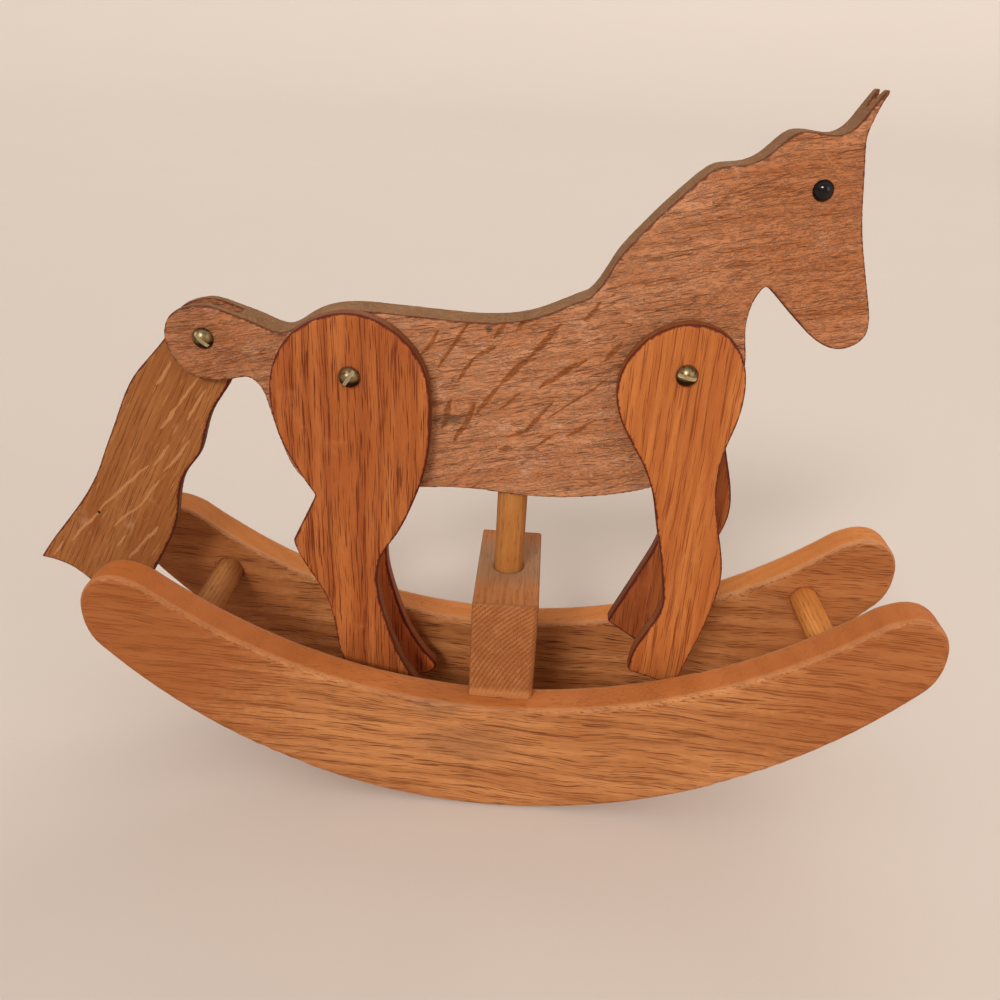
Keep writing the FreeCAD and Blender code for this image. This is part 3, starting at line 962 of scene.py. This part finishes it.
FAR_ROCKER_OAK = OakFinish(
    name="left_rocker_oak", light=(0.58, 0.245, 0.085), mid=(0.45, 0.165, 0.05),
    dark=(0.31, 0.10, 0.026), pore=(0.15, 0.04, 0.014), angle=-2.0, pitch=6.0, heart=130.0,
    depth=26.0, slope=0.04, waver=12.0, pore_length=15.0, pore_width=0.46, pore_amount=0.66,
    band=0.4, shift=(300.0, 0.0, 0.0), wall=(0.62, 0.21, 0.046), wall_share=0.75,
    # The pale arris colour is a painted highlight along the rocker's rounded top arris.
    arris=(0.62, 0.32, 0.17), arris_width=1.2, arris_share=0.4, haze=(0.54, 0.24, 0.10),
    haze_size=40.0, relief=0.12,
    # Painted shade darkening both ends of the rocker.
    marks=(Mark(colour=(0.26, 0.08, 0.02), place=(-165.0, 30.0, 85.0), radius=100.0,
                strength=0.6),
           Mark(colour=(0.30, 0.09, 0.024), place=(165.0, 30.0, 85.0), radius=85.0,
                strength=0.4)))

BLOCK_OAK = OakFinish(
    name="block_oak", light=(0.43, 0.165, 0.056), mid=(0.35, 0.12, 0.038),
    dark=(0.25, 0.075, 0.022), pore=(0.20, 0.06, 0.02), lay=Lay.THROUGH, pitch=1.8, heart=35.0,
    depth=60.0, slope=0.0, waver=3.0, pore_length=8.0, pore_width=0.5, pore_amount=0.6, band=0.6,
    wall_share=0.0, arris=(0.2, 0.09, 0.04), arris_width=0.8, arris_share=0.5, roughness=0.7,
    relief=0.14,
    marks=(Mark(colour=(0.56, 0.24, 0.085), place=(1.0, -32.0, 56.0), radius=5.6, strength=0.7,
                squash=(0.05, 0.6, 1.0)),
           Mark(colour=(0.46, 0.18, 0.062), place=(1.0, 0.0, 103.5), radius=60.0, strength=0.7,
                squash=(1.0, 1.0, 30.0)),
           # Painted shadow of the body on the far half of the block's top, around the post.
           Mark(colour=(0.27, 0.17, 0.10), place=(1.0, 4.0, 103.0), radius=26.0, strength=0.6,
                squash=(0.6, 1.0, 6.0))))

DOWEL_OAK = OakFinish(
    name="dowel_oak", light=(0.46, 0.195, 0.052), mid=(0.38, 0.14, 0.034),
    dark=(0.31, 0.105, 0.025), pore=(0.25, 0.08, 0.02), angle=90.0, pitch=1.8, heart=3.0,
    waver=1.0, pore_length=7.0, pore_width=0.32, pore_amount=0.4, band=0.3, wall_share=0.0,
    arris_share=0.0, haze=(0.44, 0.21, 0.08), haze_size=9.0, roughness=0.65, relief=0.05)

STRETCHER_OAK = OakFinish(
    name="rear_stretcher_oak", light=(0.44, 0.18, 0.055), mid=(0.34, 0.125, 0.036),
    dark=(0.26, 0.09, 0.026), pore=(0.20, 0.065, 0.02), lay=Lay.THROUGH, pitch=1.8, heart=3.0,
    waver=1.0, pore_length=7.0, pore_width=0.35, pore_amount=0.45, band=0.35, wall_share=0.0,
    arris_share=0.0, haze=(0.36, 0.24, 0.15), haze_size=9.0, haze_strength=0.5, roughness=0.65,
    relief=0.05)


# ---- meshes -----------------------------------------------------------------
def shown(name: str, mesh: Mesh) -> Piece:
    """Shows a mesh in the scene.

    Args:
        name: the object's name.
        mesh: its mesh.

    Returns:
        The object.
    """
    made = bpy.data.objects.new(name, mesh)
    bpy.context.scene.collection.objects.link(made)
    return made


def settle(piece: Piece) -> None:
    """Applies the piece's modifiers to its mesh.

    Args:
        piece: the piece.
    """
    graph = bpy.context.evaluated_depsgraph_get()
    done = bpy.data.meshes.new_from_object(piece.evaluated_get(graph))
    piece.modifiers.clear()
    piece.data = done


def shade_smooth(mesh: Mesh) -> None:
    """Shades every face of the mesh smooth."""
    mesh.polygons.foreach_set("use_smooth", [True] * len(mesh.polygons))


def finished(piece: Piece, material: Material, body: str, node: str) -> Piece:
    """Dresses a piece and hangs it on its body in place of its CAD node.

    Args:
        piece: the piece, in place in the horse's frame.
        material: its finish.
        body: the body it moves with.
        node: the CAD node it stands for.

    Returns:
        The piece.
    """
    piece.data.materials.clear()
    piece.data.materials.append(material)
    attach(piece, body)
    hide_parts(node)
    return piece


@dataclass
class Board:
    """A sawn and sanded board: the CAD board's shape with eased arrises and saw chatter.

    A point is on the sawn wall where it faces less than wall_below along Y. The distance from the
    wall is kept up to a reach in millimetres. The waves of the chatter and the fuzz are per
    millimetre, as factors of X and Z.
    """
    node: str
    body: str
    slot: str
    cell: float = 0.8 * MM
    easing: int = 4
    ease_share: float = 0.5
    chatter: float = 0.07 * MM
    chatter_waves: float = 0.9
    fuzz: float = 0.0
    fuzz_along: tuple[float, float] = (0.35, 0.1)
    fuzz_across: tuple[float, float] = (-0.2, 1.1)
    wall_below: float = 0.6
    reach: float = 12.0

    def build(self, material: Material) -> Piece:
        """Makes the board.

        Args:
            material: its finish.

        Returns:
            The finished piece.
        """
        piece = shown(self.node + "_board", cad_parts[self.node].data.copy())
        cells = piece.modifiers.new("cells", "REMESH")
        cells.mode = "VOXEL"
        cells.voxel_size = self.cell
        ease = piece.modifiers.new("ease", "SMOOTH")
        ease.factor = self.ease_share
        ease.iterations = self.easing
        settle(piece)
        self._carve(piece.data)
        shade_smooth(piece.data)
        return finished(piece, material, self.body, self.node)

    def _carve(self, mesh: Mesh) -> None:
        """Notes how far each point is from the sawn edge, then roughens the surface a little.

        Args:
            mesh: the board's mesh.
        """
        count = len(mesh.vertices)
        places, normals = np.empty((2, count * 3), np.float32)
        mesh.vertices.foreach_get("co", places)
        mesh.vertex_normals.foreach_get("vector", normals)
        places, normals = places.reshape(-1, 3), normals.reshape(-1, 3)
        facing = np.abs(normals[:, 1])
        walls = np.flatnonzero(facing < self.wall_below)
        faces = np.flatnonzero(facing >= self.wall_below)
        tree = kdtree.KDTree(len(walls))
        for index in walls:
            tree.insert(places[index], int(index))
        tree.balance()
        edge = np.full(count, self.reach, np.float32)
        edge[walls] = 0.0
        for index in faces:
            edge[index] = min(self.reach, tree.find(places[index])[2] / MM)
        for name, values in (("edge_mm", edge), ("wall", 1.0 - facing)):
            layer = mesh.attributes.new(name, "FLOAT", "POINT")
            layer.data.foreach_set("value", values.astype(np.float32))
        push = np.zeros(count, np.float32)
        for index in walls:
            x, _, z = places[index] / MM
            spot = (x * self.chatter_waves, 0.0, z * self.chatter_waves)
            push[index] = noise.noise(spot) * self.chatter
        if self.fuzz:
            (along_x, along_z), (across_x, across_z) = self.fuzz_along, self.fuzz_across
            for index in faces:
                x, y, z = places[index] / MM
                spot = (x * along_x + z * along_z, y, x * across_x + z * across_z)
                push[index] = noise.noise(spot) * self.fuzz
        places += normals * push[:, None]
        mesh.vertices.foreach_set("co", places.ravel())
        mesh.update()


@dataclass
class Dowel:
    """A turned dowel, very slightly uneven, along an axis: 1 for Y, 2 for Z."""
    node: str
    body: str
    slot: str
    axis: int
    segments: int = 64
    rings: int = 60
    waver: float = 0.05 * MM
    waves: float = 6.0

    def build(self, material: Material) -> Piece:
        """Makes the dowel from the box of its CAD node.

        Args:
            material: its finish.

        Returns:
            The finished piece.
        """
        low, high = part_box(self.node)
        middle = (low + high) / 2
        side, rise = (self.axis + 1) % 3, (self.axis + 2) % 3
        radius = (high - low)[side] / 2
        mesh = bmesh.new()
        loops = []
        for step in range(self.rings + 1):
            part = step / self.rings
            loop = []
            for turn in range(self.segments):
                angle = math.tau * turn / self.segments
                spot = [0.0, 0.0, 0.0]
                spot[self.axis] = low[self.axis] + (high - low)[self.axis] * part
                bend = noise.noise((part * self.waves, math.cos(angle), math.sin(angle)))
                wide = radius - self.waver + self.waver * bend
                spot[side] = middle[side] + wide * math.cos(angle)
                spot[rise] = middle[rise] + wide * math.sin(angle)
                loop.append(mesh.verts.new(spot))
            loops.append(loop)
        for lower, upper in zip(loops, loops[1:]):
            for turn in range(self.segments):
                after = (turn + 1) % self.segments
                mesh.faces.new((lower[turn], lower[after], upper[after], upper[turn]))
        mesh.faces.new(loops[0][::-1])
        mesh.faces.new(loops[-1])
        bmesh.ops.recalc_face_normals(mesh, faces=mesh.faces)
        data = bpy.data.meshes.new(self.node + "_dowel")
        mesh.to_mesh(data)
        mesh.free()
        shade_smooth(data)
        piece = shown(self.node + "_dowel", data)
        return finished(piece, material, self.body, self.node)


@dataclass
class Hardware:
    """A small hard piece: the CAD shape with its edges broken by a fine bevel.

    Its faces carry how much of the brass's rubbing and painted highlight they get: those square to
    Y, such as the floor of a screw's slot, get a little, and those along Y, such as the slot's
    walls, get it fully.
    """
    node: str
    slot: str
    bevel: float = 0.12 * MM
    bevel_steps: int = 3
    bevel_over: float = 40.0
    flat_within: float = 0.5
    weld: float = 0.002 * MM
    body: str = "horse"
    floor_shine: float = 0.4
    floor_over: float = 0.999
    wall_under: float = 0.02

    def build(self, material: Material) -> Piece:
        """Makes the piece.

        Args:
            material: its finish.

        Returns:
            The finished piece.
        """
        mesh = bmesh.new()
        mesh.from_mesh(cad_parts[self.node].data)
        bmesh.ops.remove_doubles(mesh, verts=mesh.verts, dist=self.weld)
        bmesh.ops.dissolve_limit(mesh, angle_limit=math.radians(self.flat_within),
                                 verts=mesh.verts, edges=mesh.edges)
        data = bpy.data.meshes.new(self.node + "_part")
        mesh.to_mesh(data)
        mesh.free()
        piece = shown(self.node + "_part", data)
        broken = piece.modifiers.new("broken_edges", "BEVEL")
        broken.width = self.bevel
        broken.segments = self.bevel_steps
        broken.limit_method = "ANGLE"
        broken.angle_limit = math.radians(self.bevel_over)
        settle(piece)
        # Slot mask for the brass's rubbing and painted highlight, by face direction.
        facing = (abs(face.normal.y) for face in piece.data.polygons)
        layer = piece.data.attributes.new("slot", "FLOAT", "FACE")
        layer.data.foreach_set("value", [
            self.floor_shine * (y > self.floor_over) + (y < self.wall_under) for y in facing])
        shade_smooth(piece.data)
        return finished(piece, material, self.body, self.node)


# ---- sub-assemblies ---------------------------------------------------------
@dataclass
class Horse:
    """Body board, legs and tail."""
    body_cell: float = 0.75 * MM
    body_easing: int = 3
    fuzz: float = 0.09 * MM
    leg_cell: float = 0.65 * MM
    leg_easing: int = 2
    # The left legs use lighter and darker copies of the leg oak: painted light on the hind leg,
    # painted shade on the fore leg.
    left_hind_painted_light: Colour = (1.48, 1.28, 1.32)
    left_fore_painted_shade: Colour = (0.76, 0.68, 0.75)

    def build(self, effects: Effects) -> list[Piece]:
        """Builds the body, the four legs and the tail.

        Args:
            effects: the shared node groups.

        Returns:
            The pieces.
        """
        made = [Board("horse_body", "horse", "body_oak", self.body_cell, self.body_easing,
                      fuzz=self.fuzz).build(BODY_OAK.material(effects))]
        for side, hind, fore in (
                ("right", HIND_OAK, FORE_OAK),
                # Painted light on the left hind leg, painted shade on the left fore leg.
                ("left", HIND_OAK.tinted("left_hind_leg_oak_painted_light", self.left_hind_painted_light),
                 FORE_OAK.tinted("left_fore_leg_oak_painted_shade", self.left_fore_painted_shade))):
            for place, finish in (("hind", hind), ("fore", fore)):
                leg = Board(f"{side}_{place}_leg", f"{place}_leg_{side}", f"{place}_leg_oak",
                            self.leg_cell, self.leg_easing)
                made.append(leg.build(finish.material(effects)))
        tail = Board("tail", "tail_body", "tail_oak", self.leg_cell, self.leg_easing)
        made.append(tail.build(TAIL_OAK.material(effects)))
        return made


@dataclass
class Carriage:
    """Rockers, stretchers, block and post."""
    rocker_cell: float = 1.0 * MM
    block_cell: float = 0.6 * MM
    block_chatter: float = 0.03 * MM
    easing: int = 2
    # Painted light: the front stretcher's oak is a lighter copy of the stretcher oak.
    front_painted_light: Colour = (1.7, 1.65, 1.3)

    def build(self, effects: Effects) -> list[Piece]:
        """Builds the rockers, the stretchers, the block with its pins and the post.

        Args:
            effects: the shared node groups.

        Returns:
            The pieces.
        """
        made = []
        for side, finish in (("right", NEAR_ROCKER_OAK), ("left", FAR_ROCKER_OAK)):
            rocker = Board(f"{side}_rocker", "horse", f"{side}_rocker_oak", self.rocker_cell,
                           self.easing)
            made.append(rocker.build(finish.material(effects)))
        block = Board("center_block", "horse", "block_oak", self.block_cell, self.easing,
                      chatter=self.block_chatter)
        made.append(block.build(BLOCK_OAK.material(effects)))
        upright = DOWEL_OAK.material(effects)
        # Painted light on the front stretcher, as a lighter copy of the stretcher oak.
        paler = STRETCHER_OAK.tinted("front_stretcher_oak_painted_light", self.front_painted_light)
        for place, finish in (("rear", STRETCHER_OAK), ("front", paler)):
            stretcher = Dowel(f"{place}_stretcher", "horse", "dowel_oak", 1)
            made.append(stretcher.build(finish.material(effects)))
        made.append(Dowel("center_post", "horse", "dowel_oak", 2).build(upright))
        for side in ("right", "left"):
            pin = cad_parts[f"{side}_block_pin"]
            pin.data.materials.clear()
            pin.data.materials.append(upright)
            made.append(pin)
        return made


@dataclass
class Fittings:
    """Screws and eyes."""
    screws: tuple[str, ...] = ("right_hind_screw", "left_hind_screw", "right_fore_screw",
                               "left_fore_screw", "tail_screw")
    eye_bevel: float = 0.05 * MM

    def build(self, effects: Effects) -> list[Piece]:
        """Builds the five screws and the two eyes.

        Args:
            effects: the shared node groups.

        Returns:
            The pieces.
        """
        brass = BrassFinish().material(effects)
        bead = BeadFinish().material(effects)
        made = [Hardware(name, "screw_brass").build(brass) for name in self.screws]
        for side in ("right", "left"):
            made.append(Hardware(f"{side}_eye", "eye_black", self.eye_bevel).build(bead))
        return made


# ---- studio -----------------------------------------------------------------
class Lamp(Enum):
    """The kinds of lamp in the studio."""
    DISC = "AREA"
    DAYLIGHT = "SUN"


@dataclass
class SoftLight:
    """One soft lamp aimed at the horse: a disc of a width, or daylight of an angle in degrees."""
    name: str
    kind: Lamp
    place: Triple
    spread: float
    power: float
    colour: Colour = (1.0, 1.0, 1.0)
    aim: Triple = (0.0, 0.0, 0.13)

    def build(self) -> None:
        """Hangs the lamp."""
        data = bpy.data.lights.new(self.name, self.kind.value)
        if self.kind is Lamp.DISC:
            data.shape = "DISK"
            data.size = self.spread
        else:
            data.angle = math.radians(self.spread)
        data.energy = self.power
        data.color = self.colour
        lamp = bpy.data.objects.new(self.name, data)
        lamp.location = self.place
        look = Vector(self.aim) - Vector(self.place)
        lamp.rotation_euler = look.to_track_quat("-Z", "Y").to_euler()
        bpy.context.scene.collection.objects.link(lamp)


@dataclass
class Studio:
    """Floor, lamps, surround and camera."""
    floor_radius: float = 4.0
    floor_sides: int = 96
    rim_width: float = 6.0
    rim_height: float = 5.4
    rim_steps: int = 24
    surround: Colour = (1.0, 0.94, 0.87)
    surround_strength: float = 0.69
    eye: Triple = (0.00768, -0.34034, 0.30722)
    right: Triple = (0.99732, 0.05771, 0.04507)
    up: Triple = (-0.06626, 0.44919, 0.89098)
    lens: float = 32.4
    film: float = 36.0
    lamps: tuple[SoftLight, ...] = field(default_factory=lambda: (
        SoftLight("key", Lamp.DAYLIGHT, (-0.38, -1.05, 0.84), 18.0, 2.2, (1.0, 0.98, 0.93)),
        SoftLight("fill", Lamp.DISC, (0.9, -0.75, 0.6), 0.7, 2.4, (1.0, 0.86, 0.66)),
        SoftLight("back", Lamp.DAYLIGHT, (0.5, 1.1, 0.9), 40.0, 0.7, (1.0, 0.96, 0.9)),
    ))

    def build(self) -> None:
        """Sets up the floor, the lamps, the surround and the camera."""
        self._floor()
        for lamp in self.lamps:
            lamp.build()
        world = bpy.data.worlds.new("surround")
        world.use_nodes = True
        sky = world.node_tree.nodes["Background"]
        sky.inputs["Color"].default_value = (*self.surround, 1.0)
        sky.inputs["Strength"].default_value = self.surround_strength
        bpy.context.scene.world = world
        bpy.context.scene.view_settings.view_transform = "Standard"
        self._camera()

    def _floor(self) -> None:
        """Lays the plain floor under the rockers, curving up gently far away all round."""
        mesh = bmesh.new()
        bmesh.ops.create_circle(mesh, cap_ends=True, segments=self.floor_sides,
                                radius=self.floor_radius)
        rim = list(mesh.edges)
        for step in range(self.rim_steps):
            climb = (step + 1) / self.rim_steps * math.pi / 2
            wide = self.floor_radius + self.rim_width * math.sin(climb)
            high = self.rim_height * (1.0 - math.cos(climb))
            grown = bmesh.ops.extrude_edge_only(mesh, edges=rim)["geom"]
            for vert in (v for v in grown if isinstance(v, bmesh.types.BMVert)):
                flat = vert.co.xy.normalized() * wide
                vert.co = (flat.x, flat.y, high)
            rim = [e for e in grown if isinstance(e, bmesh.types.BMEdge)]
        data = bpy.data.meshes.new("floor")
        mesh.to_mesh(data)
        mesh.free()
        shade_smooth(data)
        floor = shown("floor", data)
        floor.data.materials.append(FloorFinish().material())

    def _camera(self) -> None:
        """Places the camera and makes it the scene's."""
        data = bpy.data.cameras.new("camera")
        data.lens = self.lens
        data.sensor_width = self.film
        camera = bpy.data.objects.new("camera", data)
        right, up = Vector(self.right), Vector(self.up)
        turn = Matrix((right, up, right.cross(up))).transposed()
        camera.matrix_world = Matrix.Translation(self.eye) @ turn.to_4x4()
        bpy.context.scene.collection.objects.link(camera)
        bpy.context.scene.camera = camera


def main() -> None:
    """Builds the horse and its studio, reporting each piece."""
    logging.basicConfig(level=logging.INFO, format="%(name)s: %(message)s")
    effects = Effects()
    Studio().build()
    for part in (Horse(), Carriage(), Fittings()):
        for piece in part.build(effects):
            LOG.info("%s: %s, %d faces", type(part).__name__, piece.name, len(piece.data.polygons))


if __name__ == "__main__":
    main()
